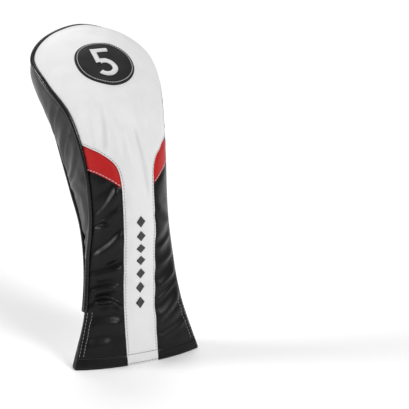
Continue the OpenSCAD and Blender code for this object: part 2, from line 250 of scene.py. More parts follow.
FRONT_FOLDS = [
    # the neck on the left, under the accent
    Fold((-19, 170), (-40, 138), 4.5, 1.5, 2),
    Fold((-24, 176), (-42, 156), 4, -0.9),
    Fold((-17, 152), (-42, 118), 5, 1.3, -2),
    Fold((-28, 139), (-42, 135), 2.2, -1.5, 1),
    Fold((-17, 128), (-43, 101), 5.5, 1.4, 2),
    Fold((-18, 104), (-42, 90), 4, -1.1, 2),
    # rounded folds over the flare of the mouth
    Fold((-19, 94), (-46, 86), 4.5, 1.5, -2),
    Fold((-20, 76), (-48, 70), 4.2, 1.6, -3),
    Fold((-24, 62), (-48, 64), 2.8, -1.2, 3),
    Fold((-18, 56), (-50, 54), 4, 1.9, -8),
    Fold((-20, 40), (-52, 38), 6, 1.0, -3),
    Fold((-30, 24), (-58, 20), 7, 0.6),
    # the same places on the right, where the leather lies flatter
    Fold((17, 148), (42, 128), 6, 0.8),
    Fold((17, 112), (42, 122), 5, -0.8),
    Fold((17, 90), (46, 104), 5, 1.0, -1),
    Fold((17, 70), (48, 88), 4.5, 1.2, -1),
    Fold((17, 60), (49, 78), 3, -0.9, -1),
    Fold((18, 40), (54, 66), 6, 1.3, -2),
    Fold((18, 26), (60, 42), 5, -0.8, -2),
    # long soft ripples in the white of the crown and the stripe
    Fold((-36, 206), (-33, 262), 6, 0.8),
    Fold((-27, 204), (-22, 250), 4.5, -0.9),
    Fold((-17, 200), (-14, 236), 5, 0.6),
    Fold((8, 158), (2, 226), 4.5, -1.1, 1),
    Fold((24, 200), (40, 250), 7, 0.8),
    Fold((13, 222), (20, 262), 5, -0.7),
    Fold((-8, 60), (-7, 150), 7, 0.4),
    Fold((7, 20), (8, 96), 6, -0.35),
]
BACK_FOLDS = [
    Fold((-34, 264), (36, 262), 6, 0.9, -3),
    Fold((-40, 252), (10, 249), 3.2, -0.9, -2),
    Fold((-44, 243), (34, 240), 4.2, -1.4, -2),
    Fold((-40, 228), (42, 226), 5.5, 0.9, -2),
    Fold((-46, 208), (42, 214), 4, -1.6, -3),
    Fold((-46, 192), (44, 194), 6, 1.0, -2),
    Fold((0, 202), (44, 198), 3, -1.1, 2),
    Fold((-44, 180), (30, 172), 4.2, -1.5, -2),
    Fold((-45, 167), (18, 147), 3.6, -1.9, -1),
    Fold((-42, 150), (42, 140), 6, 1.1, -2),
    Fold((14, 134), (40, 128), 4.5, -1.2),
    # one long fold that doubles back on itself across the neck
    Fold((-46, 120), (8, 127), 4, -1.9, 3),
    Fold((6, 127), (25, 110), 4, -1.4, 4),
    Fold((26, 109), (4, 97), 3.8, -1.5, 2),
    Fold((5, 101), (-2, 54), 5.5, -1.1, -5),
    Fold((-10, 108), (-44, 102), 6, 1.5, 2),
    Fold((44, 104), (18, 84), 6, 1.1, 2),
    # slack above the hem
    Fold((22, 88), (46, 66), 6, 1.1, 2),
    Fold((16, 60), (42, 34), 6, -1.0, -2),
    Fold((-16, 62), (-46, 92), 4.6, -1.3, 2),
    Fold((-10, 40), (-48, 66), 5, 1.2, 2),
    Fold((-20, 26), (-52, 46), 5, -1.0, 2),
]
# On the gusset the first number is from its middle towards the back, the second from the vent
GUSSET_FOLDS = [
    Fold((-11, 30), (11, 48), 5, 0.9),
    Fold((-10, 66), (12, 58), 4.5, -0.8),
    Fold((-12, 92), (12, 108), 5, 0.9, 2),
    Fold((-14, 136), (14, 122), 4.5, -0.9, -2),
    Fold((-16, 168), (20, 176), 6, 0.9, 2),
    Fold((-20, 214), (20, 190), 3.4, -1.5, 3),
    Fold((-18, 196), (14, 182), 4.2, 1.0, -3),
    Fold((-22, 236), (16, 222), 3.2, -1.3, 2),
]


def fold_relief(fold, x, h):
    """Height of one fold: a rounded ridge between two shallow valleys, steeper on one side."""
    start = np.array(fold.start, float)
    run = np.array(fold.end, float) - start
    length = math.hypot(*run)
    t = ((x - start[0]) * run[0] + (h - start[1]) * run[1]) / length ** 2
    off = ((h - start[1]) * run[0] - (x - start[0]) * run[1]) / length
    k = (off - fold.bow * 4 * t * (1 - t)) / fold.width
    k = k * (1.2 - 0.35 * np.tanh(k))
    ends = ease(t / 0.3 + 0.35) * ease((1 - t) / 0.3 + 0.35)
    return fold.depth * ends * (1 - k * k) * np.exp(-k * k / 2)


def ripple_relief(x, h):
    """Slow unevenness of hand-sewn leather, from a few long waves that cross each other."""
    waves = [(0.21, 0.07, 0.4), (-0.11, 0.19, 1.9), (0.05, 0.33, 4.2), (0.31, -0.13, 2.7), (0.09, 0.12, 5.5)]
    return 0.11 * sum(np.sin(a * x + b * h + phase + 0.8 * np.sin(0.05 * h)) for a, b, phase in waves)


def capped(relief, most=3.8):
    return most * np.tanh(relief / most)


# ---- the surfaces, folds and all ----


class Surface:
    """One side of the shell. Its points are given by two coordinates and a lift outwards."""

    def __init__(self, place, facing, folds, boldness, middle, level_of, across, corners):
        self.place = place
        self.facing = facing
        self.folds = folds
        self.boldness = boldness
        self.level_of = level_of
        self.across = across
        self.corners = corners
        self.levels = np.linspace(0, LAST, 400)
        self.heights = arc_of(middle(self.levels))
        self.slack = None

    def height(self, b):
        return np.interp(self.level_of(b), self.levels, self.heights)

    def level_at(self, height):
        return np.interp(height, self.heights, self.levels)

    def relief(self, a, b):
        x = self.across(a, b)
        h = self.height(b)
        folds = self.boldness * sum(fold_relief(f, x, h) for f in self.folds)
        return capped(folds + ripple_relief(x + 40 * self.facing, h)) * self.freedom(a, b)

    def freedom(self, a, b):
        """1 where the leather is free to fold, down to 0 at a seam and at the hem."""
        return ease(self.seam_share(a) * 5) * ease(self.height(b) / 14 - 0.6)

    def seam_share(self, a):
        return 1 - np.abs(a)

    def outward(self, a, b):
        own = normal(self.place, self.facing, a, b)
        return self.corners(own, a, self.level_of(b), b)

    def at(self, a, b, lift=0.0):
        a, b, lift = np.broadcast_arrays(*(np.asarray(v, float) for v in (a, b, lift)))
        points = self.place(a, b) + self.outward(a, b) * (self.relief(a, b) + lift)[..., None]
        if self.slack is not None:
            points = points + self.slack(a, b)
        return np.stack([points[..., 0], points[..., 1], np.maximum(points[..., 2], FLOOR_GAP)], -1)


def arc_of(points):
    """Distance along a path of points, or along each column of a grid of them."""
    steps = np.linalg.norm(np.diff(points, axis=0), axis=-1)
    return np.concatenate([0 * steps[:1], np.cumsum(steps, axis=0)])


def panel_corners(shared):
    def turn(own, a, s, b):
        return mitred(own, flipped(shared(s), a), (np.abs(a) - (1 - MITRE_SHARE)) / MITRE_SHARE)
    return turn


def gusset_corners(own, v, s, w):
    front = mitred(own, flipped(front_corner(s), w), 1 - v / MITRE_SHARE)
    back = mitred(own, flipped(back_corner(s), w), 1 - (1 - v) / MITRE_SHARE)
    return np.where((v < 0.5)[..., None], front, back)


class Gusset(Surface):
    def seam_share(self, a):
        return 2 * np.minimum(a, 1 - a)

    def freedom(self, a, b):
        return ease(self.seam_share(a) * 2.5)


def panel_across(stations):
    return lambda u, s: u * seam(stations, s)[..., 0]


def gusset_across(v, w):
    s = LAST - np.abs(w)
    return (v - 0.5) * np.linalg.norm(seam(BACK_SEAM, s) - seam(FRONT_SEAM, s), axis=-1)


front = Surface(front_place, 1, FRONT_FOLDS, 1.9, lambda s: front_place(0 * s, s), lambda s: s,
                panel_across(FRONT_SEAM), panel_corners(front_corner))
back = Surface(back_place, -1, BACK_FOLDS, 2.2, lambda s: back_place(0 * s, s), lambda s: s,
               panel_across(BACK_SEAM), panel_corners(back_corner))
gusset = Gusset(gusset_place, -1, GUSSET_FOLDS, 1.2, lambda s: gusset_place(0.5 + 0 * s, LAST - s),
                lambda w: LAST - np.abs(w), gusset_across, gusset_corners)


def front_mm(x, s):
    """Coordinates on the front of a place x millimetres from the middle line."""
    return x / seam(FRONT_SEAM, np.asarray(s, float))[..., 0], s


# ---- meshes ----


def grid_quads(rows, cols, start=0, round_rows=False):
    """Faces of a grid of points whose rows may close on themselves."""
    r, c = np.meshgrid(np.arange(rows - 1), np.arange(cols if round_rows else cols - 1), indexing="ij")
    n = (c + 1) % cols
    quads = np.stack([r * cols + c, r * cols + n, (r + 1) * cols + n, (r + 1) * cols + c], -1)
    return (quads.reshape(-1, 4) + start).tolist()


def placed(name, data):
    """A new object in the scene."""
    made = bpy.data.objects.new(name, data)
    bpy.context.scene.collection.objects.link(made)
    return made


def make_piece(name, node, points, faces, look):
    """A smooth closed mesh piece that stands for a CAD node. Points are in millimetres."""
    mesh = bpy.data.meshes.new(name)
    mesh.from_pydata((np.asarray(points).reshape(-1, 3) * MM).tolist(), [], faces)
    work = bmesh.new()
    work.from_mesh(mesh)
    bmesh.ops.recalc_face_normals(work, faces=work.faces)
    work.to_mesh(mesh)
    work.free()
    mesh.polygons.foreach_set("use_smooth", [True] * len(mesh.polygons))
    mesh.materials.append(look)
    piece = placed(name, mesh)
    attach(piece, "root")
    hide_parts(node)
    return piece


def sheet_mesh(face, rear):
    """Points and faces of a closed sheet between two grids of the same size."""
    rows, cols = face.shape[:2]
    loops = np.concatenate([face, rear[:, ::-1]], axis=1)
    width = 2 * cols
    faces = grid_quads(rows, width, round_rows=True)
    for r in (0, rows - 1):
        for c in range(cols - 1):
            faces.append([r * width + k for k in (c, c + 1, width - 2 - c, width - 1 - c)])
    return loops, faces


def tube_mesh(centre, side, up, radius, sides=6):
    """Points and faces of tubes. Each array is (tubes, rings, ...); radius may vary by ring."""
    tubes, rings = centre.shape[:2]
    angle = np.linspace(0, 2 * math.pi, sides, endpoint=False)[:, None]
    ring = np.cos(angle) * side[:, :, None] + np.sin(angle) * up[:, :, None]
    points = centre[:, :, None] + ring * np.asarray(radius)[..., None, None]
    faces = []
    for k in range(tubes):
        start = k * rings * sides
        faces += grid_quads(rings, sides, start, round_rows=True)
        faces.append([start + i for i in range(sides)])
        faces.append([start + (rings - 1) * sides + i for i in range(sides)])
    return points, faces


def crowd(n, crowding=0.8):
    """Shares from 0 to 1 that crowd together towards both ends, where an edge is rounded."""
    t = np.linspace(0, 1, n + 1)
    return t - crowding * np.sin(2 * math.pi * t) / (2 * math.pi)


def distance_to(points, paths):
    """How far each point of a grid is from the nearest of some paths of points."""
    samples = np.concatenate([resampled(path, 0.6) for path in paths])
    tree = KDTree(len(samples))
    for i, p in enumerate(samples):
        tree.insert(p, i)
    tree.balance()
    flat = points.reshape(-1, 3)
    return np.array([tree.find(p)[2] for p in flat]).reshape(points.shape[:-1])


def read_path(path, arc, spots):
    """Places on a path at some distances along it."""
    return np.stack([np.interp(spots, arc, path[:, k]) for k in range(3)], -1)


def resampled(path, pitch):
    arc = arc_of(path)
    return read_path(path, arc, np.linspace(0, arc[-1], max(2, int(arc[-1] / pitch) + 1)))


# ---- the lines that pieces meet and are sewn along ----


def half_front(s):
    return seam(FRONT_SEAM, np.asarray(s, float))[..., 0] * PANEL_EDGE


def crown_edge(t):
    """Distance from the middle and level of the crown's edge, from the accent's point out."""
    low = (STRIPE_HALF, ACCENT_POINT)
    turn = (STRIPE_HALF + 1, ACCENT_CORNER)
    high = (half_front(ACCENT_TOP), ACCENT_TOP)
    return [a * (1 - t) ** 3 + b * 3 * t * (1 - t) + c * t ** 3 for a, b, c in zip(low, turn, high)]


def accent_edge(t):
    """The accent's lower edge, from its point out to the seam."""
    x = mix(STRIPE_HALF, half_front(ACCENT_BOTTOM), t)
    s = mix(ACCENT_POINT, ACCENT_BOTTOM, t) + ACCENT_BOW * np.sin(math.pi * t)
    return x, s


EDGE_SHARES = np.linspace(0, 1, 60)
CROWN_EDGE_X, CROWN_EDGE_LEVEL = crown_edge(EDGE_SHARES)


def crown_half(s):
    """Half the width of the white piece at a level: the stripe, then out to the seam."""
    corner = np.interp(s, CROWN_EDGE_LEVEL, CROWN_EDGE_X)
    return np.where(s > ACCENT_TOP, half_front(s), corner)


def on_front(x, s, lift=0.0):
    return front.at(*front_mm(np.asarray(x, float), np.asarray(s, float)), lift)


def both_sides(x, s, lift=0.0):
    return [on_front(x, s, lift), on_front(-np.asarray(x), s, lift)]


def piping_path(stations, corner_of, lean):
    """The middle of a bead of piping, and the direction that it faces.

    Where lean is 1, the padded front pushes its piping over towards the gusset on the right.
    """
    w = np.linspace(-(LAST - VENT_LEVEL), LAST - VENT_LEVEL, 620)
    s = LAST - np.abs(w)
    right = ease(0.5 + w / 5)[:, None]
    shift = lean * PIPING_PUSH * right * unit(seam(BACK_SEAM, s) - seam(FRONT_SEAM, s))
    out = corner_of(s)
    lift = PIPING_LIFT - lean * PIPING_SINK * right
    return flipped(seam(stations, s) + shift + out * lift, w), flipped(out, w)


front_piping_path = piping_path(FRONT_SEAM, front_corner, 1)
back_piping_path = piping_path(BACK_SEAM, back_corner, 0)
SEAM_LEVELS = np.linspace(VENT_LEVEL, LAST, 260)


def seam_lines(stations):
    line = seam(stations, SEAM_LEVELS)
    return [flipped(line, np.full(len(line), side)) for side in (1, -1)]


front_seam_lines = seam_lines(FRONT_SEAM)
back_seam_lines = seam_lines(BACK_SEAM)

STITCH_INSET = 1.7
# How far in levels a run of stitches is from the edge that it follows, and from the hem
STITCH_RISE = 0.034
HEM_CLEARANCE = 0.03
STRIPE_LEVELS = np.linspace(HEM_TOP + HEM_CLEARANCE, ACCENT_POINT, 90)
# The crown's topstitch runs up the stripe, round the corner and out to the seam
CROWN_RUN = (
    np.concatenate([0 * STRIPE_LEVELS + STRIPE_HALF, CROWN_EDGE_X[1:]])
    - np.concatenate([0 * STRIPE_LEVELS + STITCH_INSET, STITCH_INSET * (1 - EDGE_SHARES[1:])]),
    np.concatenate([STRIPE_LEVELS, CROWN_EDGE_LEVEL[1:] + STITCH_RISE * EDGE_SHARES[1:]]),
)
ACCENT_RUN = (accent_edge(EDGE_SHARES[3:])[0], accent_edge(EDGE_SHARES[3:])[1] + STITCH_RISE)
HEM_SHARES = np.linspace(-0.985, 0.985, 160)
HEM_LEVELS = [HEM_LOWER_RUN / HEM_RISE, HEM_TOP]
VENT_LEVELS = np.linspace(HEM_TOP + HEM_CLEARANCE, VENT_LEVEL + 0.01, 40)
VENT_INSETS = [1.9, 5.4]

crown_edge_lines = both_sides(
    np.concatenate([0 * STRIPE_LEVELS + STRIPE_HALF, CROWN_EDGE_X]),
    np.concatenate([STRIPE_LEVELS, CROWN_EDGE_LEVEL]))
accent_edge_lines = both_sides(*accent_edge(EDGE_SHARES))
crown_run_lines = both_sides(*CROWN_RUN)
accent_run_lines = both_sides(*ACCENT_RUN)


def hem_lines(surface):
    return [surface.at(HEM_SHARES, level) for level in HEM_LEVELS]


def vent_share(stations, inset, s):
    return 1 - inset / seam(stations, s)[..., 0]


def vent_lines(surface, stations):
    return [surface.at(side * vent_share(stations, inset, VENT_LEVELS), VENT_LEVELS)
            for inset in VENT_INSETS for side in (1, -1)]


# ---- looks ----


class Look:
    """A material with one shader, whose patterns lie in the object's own space."""

    def __init__(self, name, slot, colour, roughness, **sockets):
        self.material = bpy.data.materials.new(name)
        self.material.use_nodes = True
        self.material["slot"] = slot
        self.tree = self.material.node_tree
        self.shader = self.tree.nodes["Principled BSDF"]
        self.colour = (*colour, 1)
        self.shader.inputs["Base Color"].default_value = self.colour
        self.shader.inputs["Roughness"].default_value = roughness
        for socket, value in sockets.items():
            self.shader.inputs[socket.replace("_", " ")].default_value = value
        self.space = self.node("ShaderNodeTexCoord").outputs["Object"]
        self.height = None

    def node(self, kind, **inputs):
        made = self.tree.nodes.new(kind)
        for socket, value in inputs.items():
            made.inputs[socket].default_value = value
        return made

    def link(self, a, b):
        self.tree.links.new(a, b)

    def pattern(self, kind, output=0, stretch=(1, 1, 1), **inputs):
        """A texture in object space, stretched along its axes."""
        texture = self.node(kind, **inputs)
        mapping = self.node("ShaderNodeMapping", Scale=stretch)
        self.link(self.space, mapping.inputs["Vector"])
        self.link(mapping.outputs["Vector"], texture.inputs["Vector"])
        return texture.outputs[output]

    def ranged(self, value, low, high):
        node = self.node("ShaderNodeMapRange")
        node.inputs["To Min"].default_value = low
        node.inputs["To Max"].default_value = high
        self.link(value, node.inputs["Value"])
        return node.outputs["Result"]

    def vary_roughness(self, value, low, high):
        self.link(self.ranged(value, low, high), self.shader.inputs["Roughness"])

    def shade(self, value, darkest):
        """Scales the colour down to darkest where value is 0."""
        blend = self.node("ShaderNodeMix")
        blend.data_type = "RGBA"
        blend.inputs["A"].default_value = (*(c * darkest for c in self.colour[:3]), 1)
        blend.inputs["B"].default_value = self.colour
        self.link(value, blend.inputs["Factor"])
        self.link(blend.outputs["Result"], self.shader.inputs["Base Color"])

    def bump(self, value, depth_mm):
        """Adds a bump on top of those added before."""
        bump = self.node("ShaderNodeBump", Strength=1.0, Distance=depth_mm * MM)
        self.link(value, bump.inputs["Height"])
        if self.height is not None:
            self.link(self.height, bump.inputs["Normal"])
        self.height = bump.outputs["Normal"]
        self.link(self.height, self.shader.inputs["Normal"])


def leather_look(name, slot, colour, roughness, darkest=0.9, shine=0.3):
    """Coated leather: fine pebbled grain, a few broad patches that shine a little less."""
    look = Look(name, slot, colour, roughness, Specular_IOR_Level=shine)
    patches = look.pattern("ShaderNodeTexNoise", Scale=26, Detail=3)
    look.vary_roughness(patches, roughness - 0.07, roughness + 0.07)
    look.shade(look.ranged(look.pattern("ShaderNodeTexNoise", Scale=55, Detail=4), -0.6, 1.6), darkest)
    look.bump(look.pattern("ShaderNodeTexNoise", Scale=170, Detail=4, Roughness=0.6), 0.16)
    look.bump(look.pattern("ShaderNodeTexVoronoi", Scale=1250), 0.055)
    return look.material


def thread_look(name, slot, colour):
    """Twisted thread: slanting plies and a soft sheen."""
    look = Look(name, slot, colour, 0.5, Sheen_Weight=0.25, Sheen_Roughness=0.4)
    plies = look.pattern("ShaderNodeTexWave", output=1, stretch=(1, 1, 1.6), Scale=900)
    # Painted shade: the colour darkens where the plies' bump is low, in the grooves between them.
    look.shade(plies, 0.72)
    look.bump(plies, 0.06)
    return look.material


def satin_thread_look(name, slot, colour):
    """Glossy embroidery thread."""
    look = Look(name, slot, colour, 0.36, Sheen_Weight=0.3, Anisotropic=0.4)
    streaks = look.pattern("ShaderNodeTexNoise", Scale=1400, Detail=2)
    # Painted shade: the colour darkens along the streaks where their bump is low.
    look.shade(streaks, 0.75)
    look.bump(streaks, 0.04)
    return look.material


def knit_look(name, slot, colour):
    """Ribbed knit: rows of small loops on top of ribs that the mesh has."""
    look = Look(name, slot, colour, 0.85, Sheen_Weight=0.35, Sheen_Roughness=0.5)
    rows = look.pattern("ShaderNodeTexWave", output=1, stretch=(0.2, 0.2, 1), Scale=330, Distortion=2.5,
                        Detail=2)
    fuzz = look.pattern("ShaderNodeTexNoise", Scale=2600, Detail=3)
    # Painted shade: the colour darkens to under half between the rows of loops, where their bump is low.
    look.shade(look.ranged(rows, 0.2, 1.0), 0.45)
    look.bump(rows, 0.25)
    look.bump(fuzz, 0.12)
    return look.material


def fleece_look(name, slot, colour):
    """Short brushed pile."""
    look = Look(name, slot, colour, 0.95, Sheen_Weight=0.6, Sheen_Roughness=0.6)
    pile = look.pattern("ShaderNodeTexNoise", Scale=700, Detail=6, Roughness=0.7)
    # Painted shade: the pile's colour darkens where its bump is low.
    look.shade(look.ranged(pile, -0.1, 1.2), 0.6)
    look.bump(pile, 0.7)
    return look.material


def foam_look(name, slot, colour):
    """Open-celled foam."""
    look = Look(name, slot, colour, 0.9, Subsurface_Weight=0.05)
    cells = look.pattern("ShaderNodeTexVoronoi", Scale=900)
    # Painted shade: the colour darkens towards the middle of each cell, where its bump is lowest.
    look.shade(look.ranged(cells, 0.2, 1.3), 0.6)
    look.bump(cells, 0.3)
    return look.material


def woven_look(name, slot, colour, pitch_scale, stretch):
    """Woven tape or webbing: fine bands one way over coarser bands the other way."""
    look = Look(name, slot, colour, 0.75, Sheen_Weight=0.2)
    weft = look.pattern("ShaderNodeTexWave", output=1, stretch=stretch, Scale=pitch_scale)
    fibre = look.pattern("ShaderNodeTexNoise", Scale=2200, Detail=3)
    # Painted shade: the colour darkens between the bands, where their bump is low.
    look.shade(look.ranged(weft, 0.1, 1.1), 0.6)
    look.bump(weft, 0.2)
    look.bump(fibre, 0.06)
    return look.material


white_leather = leather_look("white_coated_leather", "white_leather", (0.74, 0.74, 0.745), 0.42, 0.96)
black_leather = leather_look("black_coated_leather", "black_leather", (0.005, 0.005, 0.0053), 0.36, shine=0.2)
glossy_leather = leather_look("gusset_coated_leather", "black_leather", (0.005, 0.005, 0.0053), 0.38,
                              shine=0.6)
red_leather = leather_look("red_coated_leather", "red_leather", (0.46, 0.012, 0.012), 0.45, shine=0.2)
piping_leather = leather_look("piping_coated_leather", "piping_leather", (0.003, 0.003, 0.0032), 0.22,
                              shine=0.4)
patch_leather = leather_look("patch_coated_leather", "patch_leather", (0.008, 0.008, 0.0085), 0.5, shine=0.2)
rib_knit = knit_look("black_rib_knit", "rib_knit", (0.012, 0.012, 0.013))
light_thread = thread_look("light_thread", "light_thread", (0.72, 0.70, 0.68))
grey_thread = thread_look("grey_thread", "grey_thread", (0.30, 0.30, 0.31))
dark_thread = thread_look("dark_thread", "grey_thread", (0.012, 0.012, 0.013))
white_embroidery = satin_thread_look("white_embroidery_thread", "white_embroidery", (0.80, 0.80, 0.80))
black_embroidery = satin_thread_look("black_embroidery_thread", "black_embroidery", (0.016, 0.016, 0.018))
foam = foam_look("padding_foam", "foam", (0.62, 0.56, 0.36))
fleece = fleece_look("grey_fleece", "fleece", (0.42, 0.42, 0.44))
elastic = woven_look("ivory_elastic", "elastic", (0.66, 0.62, 0.52), 420, (1, 1, 0.15))
tape = woven_look("black_woven_tape", "tape", (0.02, 0.02, 0.022), 600, (1, 0.4, 0))
label_satin = woven_look("white_label_satin", "label_satin", (0.8, 0.8, 0.8), 1500, (0.1, 0.1, 1))

# ---- slack: the leather is cut a little too long and settles between its seams ----

CLOTH_PITCH = 4.0
CLOTH_FRAMES = 20
SLACK_MOST = 2.4
CLOTH_PRESSURE = 4
# Share by which each piece is cut too long. The front is long below its accents.
FRONT_GROWTH = (0.035, 0.004)
FRONT_GROWTH_TOP = 190
BACK_GROWTH = 0.05
GUSSET_GROWTH = 0.02


def cloth_grid(surface, shares, span):
    """A coarse sheet of the surface: the coordinates of its points, evenly spaced by height."""
    total = np.interp(span[1], surface.levels, surface.heights)
    bottom = np.interp(span[0], surface.levels, surface.heights)
    rows = int((total - bottom) / CLOTH_PITCH)
    heights = np.linspace(bottom, total, rows + 1)
    return np.meshgrid(shares, surface.level_at(heights), indexing="xy") + [heights]


def cloth_object(name, start, grown):
    """A sheet of cloth held at its edges, whose shape at rest is the grown one."""
    rows, cols = start.shape[:2]
    mesh = bpy.data.meshes.new(name)
    mesh.from_pydata((start.reshape(-1, 3) * MM).tolist(), [], grid_quads(rows, cols))
    cloth = placed(name, mesh)
    cloth.shape_key_add(name="Basis")
    longer = cloth.shape_key_add(name="longer")
    longer.data.foreach_set("co", (grown * MM).reshape(-1))
    index = np.arange(rows * cols).reshape(rows, cols)
    held = np.concatenate([index[:, 0], index[:, -1], index[0], index[-1]])
    cloth.vertex_groups.new(name="seams").add(held.tolist(), 1.0, "REPLACE")
    return cloth, longer


def add_cloth(cloth, longer, pressure):
    modifier = cloth.modifiers.new("settle", "CLOTH")
    settings = modifier.settings
    settings.quality = 8
    settings.mass = 0.2
    settings.tension_stiffness = 12
    settings.compression_stiffness = 12
    settings.shear_stiffness = 6
    settings.bending_stiffness = 0.6
    settings.vertex_group_mass = "seams"
    settings.rest_shape_key = longer
    settings.use_pressure = True
    settings.uniform_pressure_force = pressure
    settings.effector_weights.gravity = 0
    modifier.point_cache.frame_start = 1
    modifier.point_cache.frame_end = CLOTH_FRAMES


def points_after_run(cloth):
    """Where the points of the cloth are after its last frame, in millimetres."""
    scene = bpy.context.scene
    for step_frame in range(1, CLOTH_FRAMES + 1):
        scene.frame_set(step_frame)
    settled = cloth.evaluated_get(bpy.context.evaluated_depsgraph_get()).to_mesh()
    ends = np.zeros(len(settled.vertices) * 3)
    settled.vertices.foreach_get("co", ends)
    scene.frame_set(1)
    return ends / MM


def settle(surface, name, shares, span, growth):
    """Lets the sheet, grown lengthwise by a share that depends on height, buckle and settle."""
    a, s, heights = cloth_grid(surface, shares, span)
    b = LAST - s if surface is gusset else s
    start = surface.at(a, b)
    up = unit(np.gradient(start, axis=0))
    extra = np.cumsum(growth(heights)) * np.gradient(heights)
    cloth, longer = cloth_object(name, start, start + up * extra[:, None, None])
    add_cloth(cloth, longer, CLOTH_PRESSURE * surface.facing)
    moved = points_after_run(cloth).reshape(start.shape) - start
    bpy.data.objects.remove(cloth)
    size = np.linalg.norm(moved, axis=-1, keepdims=True)
    moved = moved * (SLACK_MOST * np.tanh(size / SLACK_MOST) / np.maximum(size, 1e-6))
    print(f"slack {name}: moved {size.mean():.2f} mm on average, {size.max():.2f} mm at most")
    return Slack(moved, shares, heights)


class Slack:
    """Movement of a settled sheet, read smoothly between its points."""

    def __init__(self, moved, shares, heights):
        self.moved = np.pad(moved, ((1, 1), (1, 1), (0, 0)), mode="edge")
        self.shares = shares
        self.heights = heights

    def __call__(self, share, height):
        rows, cols = self.moved.shape[0] - 2, self.moved.shape[1] - 2
        x = np.interp(share, self.shares, np.arange(cols))
        y = np.interp(height, self.heights, np.arange(rows))
        i = np.clip(np.floor(y), 0, rows - 2).astype(int)
        j = np.clip(np.floor(x), 0, cols - 2).astype(int)
        fy = (y - i)[..., None]
        fx = (x - j)[..., None]
        lines = [catmull(*(self.moved[i + k, j + m] for m in range(4)), fx) for k in range(4)]
        return catmull(*lines, fy)


def add_slack():
    """Settles the front, the back and the right half of the gusset, which the left half mirrors."""
    shares = np.linspace(-1, 1, 31)
    panel_span = (0.15, 8.2)
    gusset_span = (1.0, 8.9)
    lower = settle(front, "front_slack", shares, panel_span,
                   lambda h: np.where(h < FRONT_GROWTH_TOP, *FRONT_GROWTH))
    rear = settle(back, "back_slack", shares, panel_span, lambda h: 0 * h + BACK_GROWTH)
    band = settle(gusset, "gusset_slack", np.linspace(0, 1, 11), gusset_span,
                  lambda h: 0 * h + GUSSET_GROWTH)

    def faded(field, surface):
        def read(a, b):
            h = surface.height(b)
            fade = ease(h / 12 - 0.6) * ease((surface.heights[-1] - h) / 20 - 0.4)
            return field(a, h) * fade[..., None]
        return read

    front.slack = faded(lower, front)
    back.slack = faded(rear, back)
    gusset.slack = lambda v, w: flipped(band(v, gusset.height(w)), w) * ease(np.abs(w))[..., None]


add_slack()

# ---- leather ----

# The rows of a piece of leather: level and lift of its face and of its back
Rows = namedtuple("Rows", "face face_lift rear rear_lift")
# How far a piece of leather reaches beneath the one that laps over it
LAP = 0.9


def plain_rows(levels):
    levels = np.asarray(levels, float)
    return Rows(levels, 0 * levels, levels, 0 * levels - LEATHER)


def hemmed_rows(levels):
    """A hem turned up inside, its roll, and then the levels given."""
    turned = np.linspace(HEM_TOP, HEM_ROLL / HEM_RISE, 12)
    angle = np.linspace(math.pi, 0, 12)
    roll = HEM_ROLL / HEM_RISE * (1 - np.sin(angle))
    inner = HEM_ROLL / HEM_RISE * (1 - (1 - LEATHER / HEM_ROLL) * np.sin(angle))
    return Rows(
        np.concatenate([turned[:-1], roll, levels]),
        np.concatenate([0 * turned[:-1] - 2 * HEM_ROLL, HEM_ROLL * (np.cos(angle) - 1), 0 * levels]),
        np.concatenate([turned[:-1], inner, levels]),
        np.concatenate([0 * turned[:-1] - 2 * HEM_ROLL + LEATHER,
                        (HEM_ROLL - LEATHER) * np.cos(angle) - HEM_ROLL, 0 * levels - LEATHER]),
    )


def rounding(d, radius=LEATHER):
    """How far a cut edge's face drops within its radius of the edge."""
    share = np.clip(1 - d / radius, 0, 1)
    return radius * (1 - np.sqrt(1 - share ** 2)) * 0.98


def edge_rounding(points, ends):
    """Rounds the left and right edges of a grid, and its first and last rows if asked."""
    from_left = arc_of(points.swapaxes(0, 1)).T
    drop = np.maximum(rounding(from_left), rounding(from_left[:, -1:] - from_left))
    from_foot = arc_of(points)
    if ends[0]:
        drop = np.maximum(drop, rounding(from_foot))
    if ends[1]:
        drop = np.maximum(drop, rounding(from_foot[-1:] - from_foot))
    return drop


def dive(d, depth=2.4, reach=2.6):
    """Leather rolls down into a piped seam."""
    return -depth * np.clip(1 - d / reach, 0, 1) ** 2


def front_dive(flat):
    return dive(distance_to(flat, front_seam_lines), 1.8, 2.5)


def groove(d, depth=0.3, width=0.9):
    """A run of stitches pulls the leather down."""
    return -depth * np.exp(-(d / width) ** 2)


def tucked(d, depth=1.15, width=3.2):
    """Leather pressed down beneath the edge of the piece that laps over it."""
    return -depth * np.exp(-(d / width) ** 2)


def flat_size(points):
    """Width, length and area in metres of the flat piece that a grid was cut from."""
    wide = np.linalg.norm(np.diff(points, axis=1), axis=2)
    tall = np.linalg.norm(np.diff(points, axis=0), axis=2)
    area = (wide[:-1] + wide[1:]) / 2 * (tall[:, :-1] + tall[:, 1:]) / 2
    width = wide.sum(axis=1).max() * MM
    length = tall.sum(axis=0).max() * MM
    return (width, length), min(area.sum() * MM * MM, width * length)


def leather(name, node, surface, rows, cols, where, look, shape, ends=(False, True)):
    """One cut piece of leather. where(c, r) gives the surface coordinates of a grid place."""
    c = crowd(cols)[None, :]
    face_at = where(c, rows.face[:, None])
    rear_at = where(c, rows.rear[:, None])
    flat = surface.at(*face_at)
    shaped = shape(flat)
    lift = rows.face_lift[:, None] + shaped - edge_rounding(flat, ends)
    face = surface.at(*face_at, lift)
    rear = surface.at(*rear_at, rows.rear_lift[:, None] + shaped)
    piece = make_piece(name, node, *sheet_mesh(face, rear), look)


def levels_between(surface, low, high, pitch):
    """Levels a pitch apart along the middle of a surface."""
    heights = np.interp([low, high], surface.levels, surface.heights)
    count = int((heights[1] - heights[0]) / pitch)
    return surface.level_at(np.linspace(*heights, count + 1))


